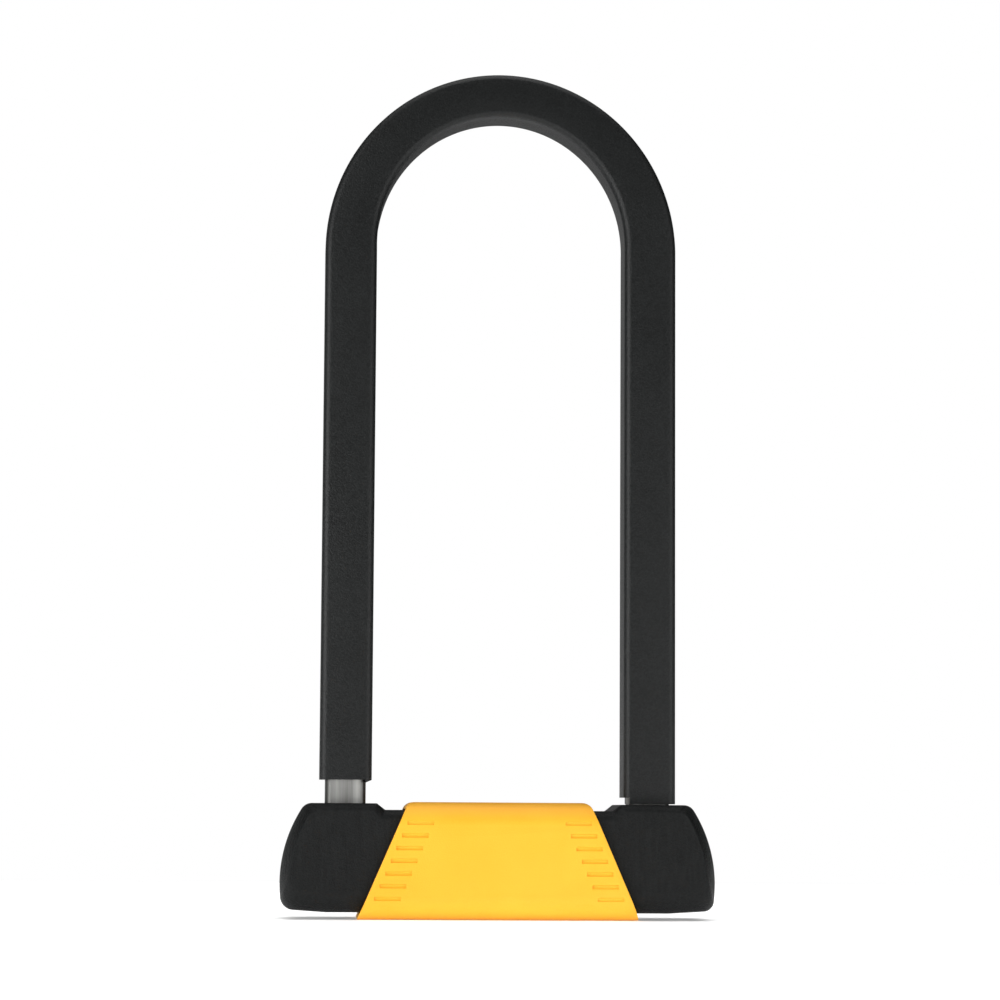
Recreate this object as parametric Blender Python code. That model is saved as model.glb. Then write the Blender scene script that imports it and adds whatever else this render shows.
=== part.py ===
"""A U lock: a coated square shackle and a crossbar with two cam-driven bolts.

The frame has its origin under the middle of the crossbar, +X along the crossbar, +Y to the back and +Z up
the shackle. Lengths below are millimetres, and MM turns them into metres. The lock is modelled closed, with
the plug in the unlocked position, so both bolts are drawn in.
"""
from math import asin, atan2, cos, degrees, hypot, pi, radians, sin, sqrt

import bmesh
import bpy
from mathutils import Vector

MM = 0.001
GAP = 0.3                                   # clearance between pieces that touch

# Shackle: square bar, bent to a slightly tall half ellipse
LEG_X = 50.1                                # centre of each leg
BAR_HALF, BAR_ROUND = 6.7, 2.0
BAR_FOOT_Z = 10.0
FOOT_CHAMFER = 1.2
ARCH_Z, ARCH_RISE = 222.6, 52.3             # where the bend starts, and how far its centre line rises
COAT_HALF, COAT_ROUND = 8.6, 3.6            # coated section at the legs
COAT_HALF_CROWN = 7.5                       # the coating is drawn thinner over the top of the bend
COAT_END = {-1: 45.4, 1: 38.0}              # lower edge of the coating on the left and right leg
INNER_TRIM_Z = 40.1                         # the right leg's inner wall is trimmed higher than the rest

# Steel tube of the crossbar
TUBE_END, TUBE_MID_Z = 64.0, 19.0
TUBE_HALF_Y, TUBE_HALF_Z, TUBE_ROUND = 14.5, 14.0, 2.5
TUBE_WALL = 2.5
BORE_Y, BORE_Z = TUBE_HALF_Y - TUBE_WALL, TUBE_HALF_Z - TUBE_WALL
FIT_Y, FIT_Z = BORE_Y - GAP, BORE_Z - GAP   # half size of the blocks that slide into the tube

# Black end covers
COVER_HALF_Y = 17.0
PAD_Z, RECESS_Z, BELLY_Z = 37.7, 35.6, 2.3  # pad round each leg, lower stretch under the sleeve, underside
STEP_TOP_X, STEP_FOOT_X = 39.5, 37.5        # slope from the pad down to the lower stretch
END_ARC_X, END_ARC_Z, END_ARC = 25.9, 11.8, 45.4
TOP_CORNER, BOTTOM_CORNER, CORNER_RISE = 4.0, 4.5, 0.7
TOE_START = -84                             # degrees, where the bottom corner leaves the underside
RIM_ROUND, RECESS_ROUND, BELLY_ROUND, TOE_ROUND = 3.0, 6.0, 6.5, 4.2

# Yellow sleeve
SLEEVE_HALF_Y, SLEEVE_TOP = 19.2, 38.2
SLEEVE_HALF_TOP, SLEEVE_HALF_BOTTOM = 29.6, 46.1
SLEEVE_ROUND, SLEEVE_CORNER = 8.0, 2.5
SLEEVE_INNER_ROUND = 5.7
GROOVES, GROOVE_FIRST_Z, GROOVE_PITCH = 7, 6.9, 4.1
GROOVE_LENGTH, GROOVE_HEIGHT, GROOVE_DEPTH, GROOVE_INSET = 8.6, 1.2, 0.6, 2.5

# Cylinder, plug and cam
HOUSING_R, HOUSING_Z = 9.8, (5.3, 22.4)
HOUSING_BORE_R, LIP_R, LIP_Z = 7.7, 7.0, 7.4
PLUG_R, PLUG_Z = 7.4, (7.7, 22.2)
NOSE_R, NOSE_Z = 6.7, 4.2
CUP_R, CUP_FLOOR_Z = 6.2, 8.9
KEYWAY = (9.0, 3.4)
KEYHOLE_STEP = 0.4                          # the discs' keyholes stop short of the keyway's ends
DISC_R, DISCS, DISC_T, DISC_PITCH, DISC_FIRST_Z = 5.9, 6, 1.2, 1.5, 11.2
SIDEBAR_R, SIDEBAR_OUT = 1.0, 6.2
CAM_R, CAM_Z, CAM_GROOVE_Z = 9.7, (22.7, 25.9), 23.9
TONGUE_HALF, TONGUE_DEPTH = 2.0, 1.8
PIN_R, PIN_PLAY = 1.1, 0.35
PIN_IN = 3.2                                # drive pin's distance from the cylinder axis, bolts drawn in
STROKE = 4.0                                # travel of each bolt for a quarter turn
QUARTER = pi / 2

# Bolts
BOLT_HALF_Y, BOLT_Z = 5.5, (15.0, 23.0)
BOLT_ROOT_X, TAIL_X = 12.4, 17.0
ARM_HALF_Y, ARM_Z = 3.0, (26.2, 28.9)
ARM_TIP_WALL = 1.2                          # from the drive pin to the end of the bolt's tail
BOLT_TIP_X, TIP_BEVEL = LEG_X - BAR_HALF - GAP, 1.0
NOTCH_DEPTH, NOTCH_PLAY = STROKE + 0.1, 0.5
SLIDE_PLAY = 0.3

# Carrier, socket blocks and end plugs inside the tube
CARRIER_END, CARRIER_BORE_R = 39.3, HOUSING_R + GAP
BLOCK_X, SOCKET_HALF, SOCKET_FLOOR_Z = (39.8, 59.6), 7.3, 9.2
END_PLUG_X = (59.9, 63.9)

# Seals, pins and screws
SEAL_Z, SEAL_HALF, SEAL_HOLE = (33.3, 34.9), 9.7, 7.0
ROLL_PIN_X, ROLL_PIN_R, ROLL_PIN_BORE = 61.9, 1.25, 0.7
CYLINDER_PIN_X, CYLINDER_PIN_Z, CYLINDER_PIN_R = 9.9, 11.3, 1.25
SCREW_X, SCREW_HEAD_R, SCREW_R = 58.5, 2.6, 1.3
SCREW_Z = (2.7, 3.9, 7.2)                   # head face, under the head, tip
DRIVE_R, DRIVE_DEPTH = 1.2, 0.8             # the head's hexagon socket

# Dust cover, which slides towards +X to bare the keyway
WINDOW_X, WINDOW_HALF_Y = (-7.0, 16.3), 6.0
SHUTTER_X, SHUTTER_HALF_Y, SHUTTER_Z = (-8.6, 17.8), 7.4, (2.3, 3.7)
SHUTTER_ROUND, TAB_ROUND = 1.5, 1.0
TAB_X, TAB_HALF_Y, TAB_Z = (-5.5, -0.5), 4.5, 0.5
RIB_PITCH, RIB_GAP, RIB_DEPTH = 2.4, 0.8, 0.7   # two grooves across the tab
SHUTTER_TRAVEL = 15.0

BEYOND = 5.0                                # how far a cutter runs past the face it goes through


# ---- shapes as rings of points, and the solids lofted through them ----

def arc(centre, radius, start, end, steps):
    """Points on an arc between two angles in degrees."""
    for i in range(steps + 1):
        angle = radians(start + (end - start) * i / steps)
        yield centre[0] + radius * cos(angle), centre[1] + radius * sin(angle)


def rounded_rect(half_u, half_v, radius, steps=3):
    """Outline of a rectangle with rounded corners, anticlockwise."""
    corners = ((1, 1, 0), (-1, 1, 90), (-1, -1, 180), (1, -1, 270))
    points = []
    for side_u, side_v, start in corners:
        centre = (side_u * (half_u - radius), side_v * (half_v - radius))
        points.extend(arc(centre, radius, start, start + 90, steps))
    return points


def circle(radius, steps=28, centre=(0.0, 0.0)):
    """Points round a circle, starting half a step off the axis so that cuts don't meet corner to corner."""
    angles = [2 * pi * (i + 0.5) / steps for i in range(steps)]
    return [(centre[0] + radius * cos(angle), centre[1] + radius * sin(angle)) for angle in angles]


def loft(name, rings, closed=False):
    """A solid through equal rings: capped at both ends, or joined back to its first ring."""
    bm = bmesh.new()
    loops = [[bm.verts.new(Vector(point) * MM) for point in ring] for ring in rings]
    pairs = list(zip(loops, loops[1:]))
    if closed:
        pairs.append((loops[-1], loops[0]))
    for low, high in pairs:
        for i in range(len(low)):
            j = (i + 1) % len(low)
            bm.faces.new((low[i], low[j], high[j], high[i]))
    if not closed:
        bm.faces.new(loops[0])
        bm.faces.new(loops[-1])
    bmesh.ops.recalc_face_normals(bm, faces=bm.faces)
    mesh = bpy.data.meshes.new(name)
    bm.to_mesh(mesh)
    bm.free()
    mesh.shade_smooth()
    mesh.set_sharp_from_angle(angle=radians(35))
    return mesh


def along_x(section, xs, mid_z=0.0):
    """Rings of a (y, z) section repeated along X."""
    return [[(x, y, mid_z + z) for y, z in section] for x in xs]


def along_y(section, ys):
    """Rings of an (x, z) section repeated along Y."""
    return [[(x, y, z) for x, z in section] for y in ys]


def along_z(section, zs):
    """Rings of an (x, y) section repeated along Z."""
    return [[(x, y, z) for x, y in section] for z in zs]


def turned(profile, centre=(0.0, 0.0), steps=28):
    """Rings of circles about a vertical axis, from (radius, z) pairs."""
    return [[(x, y, z) for x, y in circle(radius, steps, centre)] for radius, z in profile]


def block(name, x, y, z):
    """A plain block between two values on each axis."""
    section = [(x[0], y[0]), (x[1], y[0]), (x[1], y[1]), (x[0], y[1])]
    return loft(name, along_z(section, z))


# ---- objects, materials and cuts ----

def clear_scene():
    for item in list(bpy.data.objects):
        bpy.data.objects.remove(item)


def finish(name, colour, roughness, metallic=0.0):
    material = bpy.data.materials.new(name)
    material.use_nodes = True
    shader = material.node_tree.nodes["Principled BSDF"]
    shader.inputs["Base Color"].default_value = (*colour, 1.0)
    shader.inputs["Roughness"].default_value = roughness
    shader.inputs["Metallic"].default_value = metallic
    return material


FINISHES = {
    "black_vinyl": ((0.027, 0.029, 0.029), 0.6, 0.0),
    "bare_steel": ((0.42, 0.42, 0.41), 0.35, 1.0),
    "black_plastic": ((0.017, 0.019, 0.019), 0.5, 0.0),
    "yellow_plastic": ((0.9, 0.46, 0.035), 0.45, 0.0),
    "zinc": ((0.5, 0.5, 0.5), 0.5, 1.0),
    "brass": ((0.65, 0.47, 0.2), 0.35, 1.0),
    "black_rubber": ((0.02, 0.02, 0.02), 0.8, 0.0),
}


def piece(mesh, slot, parent):
    """Make a sub-part in a material of its own, under its moving body's empty."""
    item = bpy.data.objects.new(mesh.name, mesh)
    bpy.context.collection.objects.link(item)
    colour, roughness, metallic = FINISHES[slot]
    mesh.materials.append(finish(f"{mesh.name}_{slot}", colour, roughness, metallic))
    item.parent = parent
    item.matrix_parent_inverse = parent.matrix_world.inverted()
    return item


def cut(item, mesh):
    """Take a cutter's shape out of a piece."""
    cutter = bpy.data.objects.new(mesh.name, mesh)
    bpy.context.collection.objects.link(cutter)
    cutter.hide_render = True
    cutter.display_type = "WIRE"
    boolean = item.modifiers.new(mesh.name, "BOOLEAN")
    boolean.operation = "DIFFERENCE"
    boolean.solver = "EXACT"
    boolean.object = cutter


def body(name, x, y, z):
    """The empty on a moving body's joint axis."""
    empty = bpy.data.objects.new(name, None)
    bpy.context.collection.objects.link(empty)
    empty.location = (x * MM, y * MM, z * MM)
    bpy.context.view_layer.update()
    return empty


def side_name(side):
    return "left" if side < 0 else "right"


def span(side, near, far):
    """An interval on the positive or the negative side of an axis, lowest first."""
    return tuple(sorted((side * near, side * far)))


# ---- shackle ----

def shackle_stations(foot, half_leg, half_crown, bend_steps=28):
    """Centre, outward direction and half thickness along a leg, the bend and the other leg."""
    yield (-LEG_X, foot[-1]), (-1.0, 0.0), half_leg
    for i in range(bend_steps + 1):
        angle = pi * (1 - i / bend_steps)
        centre = (LEG_X * cos(angle), ARCH_Z + ARCH_RISE * sin(angle))
        yield centre, (cos(angle), sin(angle)), half_leg + (half_crown - half_leg) * sin(angle)
    yield (LEG_X, foot[1]), (1.0, 0.0), half_leg


def shackle_rings(foot, half_leg, half_crown, half_y, radius):
    rings = []
    for centre, out, half in shackle_stations(foot, half_leg, half_crown):
        ring = [(centre[0] + u * out[0], v, centre[1] + u * out[1])
                for u, v in rounded_rect(half, half_y, radius, steps=4)]
        rings.append(ring)
    return rings


def make_shackle(shackle):
    foot = {-1: BAR_FOOT_Z, 1: BAR_FOOT_Z}
    above = {side: z + FOOT_CHAMFER for side, z in foot.items()}
    rings = shackle_rings(above, BAR_HALF, BAR_HALF, BAR_HALF, BAR_ROUND)
    for side, index in ((-1, 0), (1, len(rings))):
        small = BAR_HALF - FOOT_CHAMFER
        toe = [(side * LEG_X + side * u, v, BAR_FOOT_Z)
               for u, v in rounded_rect(small, small, BAR_ROUND, steps=4)]
        rings.insert(index, toe)
    bar = piece(loft("shackle_bar", rings), "bare_steel", shackle)
    notch_z = (BOLT_Z[0] - NOTCH_PLAY, BOLT_Z[1] + NOTCH_PLAY)
    for side in (-1, 1):
        inner_face = LEG_X - BAR_HALF
        notch_x = span(side, inner_face - BEYOND, inner_face + NOTCH_DEPTH)
        across = (-BAR_HALF - BEYOND, BAR_HALF + BEYOND)
        cut(bar, block(f"notch_{side_name(side)}", notch_x, across, notch_z))

    hollow = BAR_HALF + GAP / 2
    outside = shackle_rings(COAT_END, COAT_HALF, COAT_HALF_CROWN, COAT_HALF, COAT_ROUND)
    inside = shackle_rings(COAT_END, hollow, hollow, hollow, BAR_ROUND)
    coating = piece(loft("shackle_coating", outside + inside[::-1], closed=True), "black_vinyl", shackle)
    inner_wall = (LEG_X - COAT_HALF - BEYOND, LEG_X - hollow + GAP)
    across = (-COAT_HALF - BEYOND, COAT_HALF + BEYOND)
    cut(coating, block("inner_trim", inner_wall, across, (0.0, INNER_TRIM_Z)))


# ---- crossbar tube and what closes it ----

def make_tube(crossbar):
    outer = rounded_rect(TUBE_HALF_Y, TUBE_HALF_Z, TUBE_ROUND)
    inner = rounded_rect(BORE_Y, BORE_Z, GAP * 2)
    ends = (-TUBE_END, TUBE_END)
    rings = along_x(outer, ends, TUBE_MID_Z) + along_x(inner, ends[::-1], TUBE_MID_Z)
    tube = piece(loft("crossbar_tube", rings, closed=True), "bare_steel", crossbar)
    top, bottom = TUBE_MID_Z + TUBE_HALF_Z, TUBE_MID_Z - TUBE_HALF_Z
    through_y = (-TUBE_HALF_Y - BEYOND, TUBE_HALF_Y + BEYOND)
    through_bottom = (bottom - BEYOND, bottom + BEYOND)
    square = rounded_rect(SOCKET_HALF, SOCKET_HALF, BAR_ROUND)
    for side in (-1, 1):
        hand = side_name(side)
        socket = [(side * LEG_X + x, y) for x, y in square]
        cut(tube, loft(f"tube_socket_{hand}", along_z(socket, (top - BEYOND, top + BEYOND))))
        pin_hole = circle(ROLL_PIN_R + GAP, 16, (side * ROLL_PIN_X, TUBE_MID_Z))
        cut(tube, loft(f"tube_pin_hole_{hand}", along_y(pin_hole, through_y)))
        screw_hole = circle(SCREW_R + GAP, 12, (side * SCREW_X, 0.0))
        cut(tube, loft(f"tube_screw_hole_{hand}", along_z(screw_hole, through_bottom)))
    cylinder_hole = circle(CARRIER_BORE_R)
    cut(tube, loft("tube_cylinder_hole", along_z(cylinder_hole, through_bottom)))
    cut(tube, cylinder_pin_hole("tube"))


def cylinder_pin_hole(owner):
    hole = circle(CYLINDER_PIN_R + GAP, 16, (CYLINDER_PIN_X, CYLINDER_PIN_Z))
    return loft(f"{owner}_cylinder_pin_hole", along_y(hole, (-TUBE_HALF_Y - BEYOND, TUBE_HALF_Y + BEYOND)))


def bolt_channel(name, x):
    """The room a bolt slides in."""
    half = BOLT_HALF_Y + SLIDE_PLAY
    return block(name, x, (-half, half), (BOLT_Z[0] - SLIDE_PLAY, BOLT_Z[1] + SLIDE_PLAY))


def make_tube_inserts(crossbar):
    block_z = (TUBE_MID_Z - FIT_Z, TUBE_MID_Z + FIT_Z)
    carrier_mesh = block("lock_carrier", (-CARRIER_END, CARRIER_END), (-FIT_Y, FIT_Y), block_z)
    carrier = piece(carrier_mesh, "zinc", crossbar)
    past_z = (block_z[0] - BEYOND, block_z[1] + BEYOND)
    cut(carrier, loft("carrier_bore", along_z(circle(CARRIER_BORE_R), past_z)))
    cut(carrier, bolt_channel("carrier_channel", (-CARRIER_END - BEYOND, CARRIER_END + BEYOND)))
    tail_room = TAIL_X + STROKE + SLIDE_PLAY
    half = BOLT_HALF_Y + SLIDE_PLAY
    cut(carrier, block("carrier_tail_slot", (-tail_room, tail_room), (-half, half), (BOLT_Z[1], past_z[1])))
    cut(carrier, cylinder_pin_hole("carrier"))

    for side in (-1, 1):
        hand = side_name(side)
        socket_mesh = block(f"socket_block_{hand}", span(side, *BLOCK_X), (-FIT_Y, FIT_Y), block_z)
        guide = piece(socket_mesh, "bare_steel", crossbar)
        square = [(side * LEG_X + x, y) for x, y in rounded_rect(SOCKET_HALF, SOCKET_HALF, BAR_ROUND)]
        cut(guide, loft(f"socket_{hand}", along_z(square, (SOCKET_FLOOR_Z, past_z[1]))))
        cut(guide, bolt_channel(f"bolt_window_{hand}", span(side, BLOCK_X[0] - BEYOND, LEG_X)))

        plug_mesh = block(f"end_plug_{hand}", span(side, *END_PLUG_X), (-FIT_Y, FIT_Y), block_z)
        end_plug = piece(plug_mesh, "bare_steel", crossbar)
        hole = circle(ROLL_PIN_R + GAP, 16, (side * ROLL_PIN_X, TUBE_MID_Z))
        cut(end_plug, loft(f"end_plug_hole_{hand}", along_y(hole, (-FIT_Y - BEYOND, FIT_Y + BEYOND))))

        ends = (-TUBE_HALF_Y, TUBE_HALF_Y)
        wall = circle(ROLL_PIN_R, 16, (side * ROLL_PIN_X, TUBE_MID_Z))
        hollow = circle(ROLL_PIN_BORE, 16, (side * ROLL_PIN_X, TUBE_MID_Z))
        rings = along_y(wall, ends) + along_y(hollow, ends[::-1])
        piece(loft(f"roll_pin_{hand}", rings, closed=True), "bare_steel", crossbar)

    pin = circle(CYLINDER_PIN_R, 16, (CYLINDER_PIN_X, CYLINDER_PIN_Z))
    piece(loft("cylinder_pin", along_y(pin, (-TUBE_HALF_Y, TUBE_HALF_Y))), "bare_steel", crossbar)


# ---- covers and sleeve ----

def inset(radius, depth):
    """How far a rounded edge has drawn in at a depth below the face it leads to."""
    if depth >= radius:
        return 0.0
    return radius - sqrt(radius ** 2 - (radius - depth) ** 2)


def cover_outline():
    """(x, z), outward normal and edge rounding round the right-hand cover, anticlockwise."""
    edge = [((GAP / 2, BELLY_Z), (0, -1), BELLY_ROUND), ((SCREW_X, BELLY_Z), (0, -1), BELLY_ROUND)]

    toe_z = BELLY_Z + CORNER_RISE + BOTTOM_CORNER
    reach = END_ARC - BOTTOM_CORNER
    toe = (END_ARC_X + sqrt(reach ** 2 - (END_ARC_Z - toe_z) ** 2), toe_z)
    toe_end = -degrees(asin((END_ARC_Z - toe_z) / reach))
    edge += [(point, None, TOE_ROUND) for point in arc(toe, BOTTOM_CORNER, TOE_START, toe_end, 5)]

    shoulder_z = PAD_Z - TOP_CORNER
    reach = END_ARC - TOP_CORNER
    shoulder = (END_ARC_X + sqrt(reach ** 2 - (shoulder_z - END_ARC_Z) ** 2), shoulder_z)
    shoulder_start = degrees(asin((shoulder_z - END_ARC_Z) / reach))
    end = list(arc((END_ARC_X, END_ARC_Z), END_ARC, toe_end, shoulder_start, 10))
    edge += [(point, None, RIM_ROUND) for point in end[1:-1]]
    edge += [(point, None, RIM_ROUND) for point in arc(shoulder, TOP_CORNER, shoulder_start, 90, 5)]

    edge += [((STEP_TOP_X, PAD_Z), (0, 1), RIM_ROUND),
             ((STEP_FOOT_X, RECESS_Z), (0, 1), RECESS_ROUND),
             ((GAP / 2, RECESS_Z), (0, 1), RECESS_ROUND)]
    return fill_normals(edge)


def fill_normals(edge):
    """Work out the normals that a list of edge points leaves to its neighbours."""
    filled = []
    for i, (point, normal, rounding) in enumerate(edge):
        if normal is None:
            before, after = edge[i - 1][0], edge[i + 1][0]
            along = (after[0] - before[0], after[1] - before[1])
            size = hypot(*along)
            normal = (along[1] / size, -along[0] / size)
        filled.append((point, normal, rounding))
    return filled


def cover_rings(side):
    """Outlines from the front face to the back, drawn in near both by the edge rounding."""
    depths = [0.0, 0.3, 1.0, 2.2, 4.0, BELLY_ROUND]
    layers = [(-COVER_HALF_Y + depth, depth) for depth in depths]
    layers += [(COVER_HALF_Y - depth, depth) for depth in reversed(depths)]
    outline = cover_outline()
    return [[(side * (x - nx * inset(r, depth)), y, z - nz * inset(r, depth))
             for (x, z), (nx, nz), r in outline] for y, depth in layers]


def make_covers(crossbar):
    tube_room = rounded_rect(TUBE_HALF_Y + GAP, TUBE_HALF_Z + GAP, TUBE_ROUND)
    for side in (-1, 1):
        hand = side_name(side)
        cover = piece(loft(f"end_cover_{hand}", cover_rings(side)), "black_plastic", crossbar)
        room_x = span(side, -BEYOND, TUBE_END + GAP)
        cut(cover, loft(f"cover_room_{hand}", along_x(tube_room, room_x, TUBE_MID_Z)))
        opening = [(side * LEG_X + x, y) for x, y in rounded_rect(SOCKET_HALF, SOCKET_HALF, BAR_ROUND)]
        opening_z = (SEAL_Z[0] - BEYOND, PAD_Z + BEYOND)
        cut(cover, loft(f"cover_opening_{hand}", along_z(opening, opening_z)))
        seat = SEAL_HALF + GAP
        pocket = [(side * LEG_X + x, y) for x, y in rounded_rect(seat, seat, BAR_ROUND)]
        cut(cover, loft(f"seal_pocket_{hand}", along_z(pocket, (SEAL_Z[0] - BEYOND, SEAL_Z[1] + GAP))))

        screw_place = (side * SCREW_X, 0.0)
        head_room = circle(SCREW_HEAD_R + GAP, 20, screw_place)
        cut(cover, loft(f"screw_head_room_{hand}", along_z(head_room, (-BEYOND, SCREW_Z[1] + GAP / 2))))
        shank_room = circle(SCREW_R + GAP, 12, screw_place)
        cut(cover, loft(f"screw_room_{hand}", along_z(shank_room, (0.0, SCREW_Z[2] + BEYOND))))
        rail = (SHUTTER_X[0] - GAP * 2, SHUTTER_X[1] + SHUTTER_TRAVEL + GAP * 2)
        rail_y = SHUTTER_HALF_Y + GAP * 2
        cut(cover, block(f"shutter_room_{hand}", rail, (-rail_y, rail_y), (0.0, TUBE_MID_Z)))

        seal_outer = [(side * LEG_X + x, y) for x, y in rounded_rect(SEAL_HALF, SEAL_HALF, BAR_ROUND)]
        seal_inner = [(side * LEG_X + x, y) for x, y in rounded_rect(SEAL_HOLE, SEAL_HOLE, BAR_ROUND)]
        rings = along_z(seal_outer, SEAL_Z) + along_z(seal_inner, SEAL_Z[::-1])
        piece(loft(f"leg_seal_{hand}", rings, closed=True), "black_rubber", crossbar)

        face, under_head, tip = SCREW_Z
        profile = [(SCREW_HEAD_R, face), (SCREW_HEAD_R, under_head), (SCREW_R, under_head), (SCREW_R, tip)]
        screw_mesh = loft(f"cover_screw_{hand}", turned(profile, screw_place, 20))
        screw = piece(screw_mesh, "bare_steel", crossbar)
        drive = circle(DRIVE_R, 6, screw_place)
        cut(screw, loft(f"screw_drive_{hand}", along_z(drive, (face - BEYOND, face + DRIVE_DEPTH))))


def sleeve_half_width(z):
    return SLEEVE_HALF_BOTTOM + (SLEEVE_HALF_TOP - SLEEVE_HALF_BOTTOM) * z / SLEEVE_TOP


def sleeve_outline(low, high):
    """A trapezoid slice of the sleeve with its two upper corners rounded."""
    lean = degrees(atan2(SLEEVE_HALF_BOTTOM - SLEEVE_HALF_TOP, SLEEVE_TOP))
    centre_z = high - SLEEVE_CORNER
    centre_x = sleeve_half_width(centre_z) - SLEEVE_CORNER / cos(radians(lean))
    right = [(sleeve_half_width(low), low), *arc((centre_x, centre_z), SLEEVE_CORNER, lean, 90, 3)]
    return right + [(-x, z) for x, z in reversed(right)]


def make_sleeve(crossbar):
    rings = []
    depths = [0.0, 0.4, 1.4, 3.0, 5.2, SLEEVE_ROUND]
    layers = [(-SLEEVE_HALF_Y + depth, depth) for depth in depths]
    layers += [(SLEEVE_HALF_Y - depth, depth) for depth in reversed(depths)]
    for y, depth in layers:
        drawn_in = inset(SLEEVE_ROUND, depth)
        rings.append([(x, y, z) for x, z in sleeve_outline(drawn_in, SLEEVE_TOP - drawn_in)])
    sleeve = piece(loft("centre_sleeve", rings), "yellow_plastic", crossbar)

    mid_z, half_z = (RECESS_Z + BELLY_Z) / 2, (RECESS_Z - BELLY_Z) / 2 + GAP
    room = rounded_rect(COVER_HALF_Y + GAP, half_z, SLEEVE_INNER_ROUND, steps=4)
    past = SLEEVE_HALF_BOTTOM + BEYOND
    cut(sleeve, loft("sleeve_room", along_x(room, (-past, past), mid_z)))
    middle = (WINDOW_X[0] + WINDOW_X[1]) / 2
    window = [(middle + x, y) for x, y in
              rounded_rect((WINDOW_X[1] - WINDOW_X[0]) / 2, WINDOW_HALF_Y, WINDOW_HALF_Y - GAP, steps=6)]
    cut(sleeve, loft("sleeve_window", along_z(window, (-BEYOND, BEYOND))))
    for side in (-1, 1):
        for front in (-1, 1):
            cut_grooves(sleeve, side, front)


def cut_grooves(sleeve, side, front):
    """Grip grooves beside one slanted edge of the sleeve, on its front (-1) or back (1) face."""
    face_y = span(front, SLEEVE_HALF_Y - GROOVE_DEPTH, SLEEVE_HALF_Y + BEYOND)
    for i in range(GROOVES):
        z = GROOVE_FIRST_Z + i * GROOVE_PITCH
        end = sleeve_half_width(z) - GROOVE_INSET
        groove_z = (z - GROOVE_HEIGHT / 2, z + GROOVE_HEIGHT / 2)
        name = f"groove_{side_name(side)}_{'front' if front < 0 else 'back'}_{i + 1}"
        cut(sleeve, block(name, span(side, end - GROOVE_LENGTH, end), face_y, groove_z))


# ---- lock cylinder ----

def make_cylinder(crossbar, plug_body):
    bottom, top = HOUSING_Z
    profile = [(HOUSING_R, bottom), (HOUSING_R, top), (HOUSING_BORE_R, top), (HOUSING_BORE_R, LIP_Z),
               (LIP_R, LIP_Z), (LIP_R, bottom)]
    housing = piece(loft("cylinder_housing", turned(profile, steps=40), closed=True), "brass", crossbar)
    cut(housing, cylinder_pin_hole("housing"))
    sidebar_groove = circle(SIDEBAR_R + GAP, 12, (-HOUSING_BORE_R, 0.0))
    cut(housing, loft("housing_sidebar_groove", along_z(sidebar_groove, (LIP_Z + GAP, top + BEYOND))))

    foot, head = PLUG_Z
    profile = [(NOSE_R, NOSE_Z), (NOSE_R, foot), (PLUG_R, foot), (PLUG_R, head),
               (CUP_R, head), (CUP_R, CUP_FLOOR_Z)]
    plug = piece(loft("plug", turned(profile, steps=36)), "brass", plug_body)
    half_long, half_wide = KEYWAY[0] / 2, KEYWAY[1] / 2
    keyway_z = (0.0, CUP_FLOOR_Z + 1.0)
    cut(plug, block("plug_keyway", (-half_wide, half_wide), (-half_long, half_long), keyway_z))
    tongue_z = (CAM_Z[0] - TONGUE_DEPTH - GAP, CAM_Z[1])
    tongue_room = TONGUE_HALF + GAP
    cut(plug, block("plug_tongue_slot", (-PLUG_R - 1, PLUG_R + 1), (-tongue_room, tongue_room), tongue_z))
    half_gate = SIDEBAR_R + GAP
    discs_top = DISC_FIRST_Z + DISCS * DISC_PITCH
    cut(plug, block("plug_sidebar_slot", (-half_gate, half_gate), (CUP_R - 1.0, PLUG_R + 1.0),
                    (CUP_FLOOR_Z + GAP, discs_top + GAP)))

    anti_drill_top = DISC_FIRST_Z - GAP
    layers = [("anti_drill_disc", CUP_FLOOR_Z + GAP, anti_drill_top)]
    for i in range(DISCS):
        low = DISC_FIRST_Z + i * DISC_PITCH
        layers.append((f"locking_disc_{i + 1}", low, low + DISC_T))
    for name, low, high in layers:
        slot = "bare_steel" if name == "anti_drill_disc" else "brass"
        disc = piece(loft(name, along_z(circle(DISC_R, 32), (low, high))), slot, plug_body)
        through = (low - 0.1, high + 0.1)
        keyhole_y = (KEYHOLE_STEP - half_long, half_long - KEYHOLE_STEP)
        cut(disc, block(f"{name}_keyhole", (-half_wide, half_wide), keyhole_y, through))
        gate = circle(SIDEBAR_R + GAP, 12, (0.0, SIDEBAR_OUT))
        cut(disc, loft(f"{name}_gate", along_z(gate, through)))

    sidebar = circle(SIDEBAR_R, 16, (0.0, SIDEBAR_OUT))
    sidebar_z = (CUP_FLOOR_Z + GAP * 2, discs_top)
    piece(loft("sidebar", along_z(sidebar, sidebar_z)), "bare_steel", plug_body)


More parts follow.
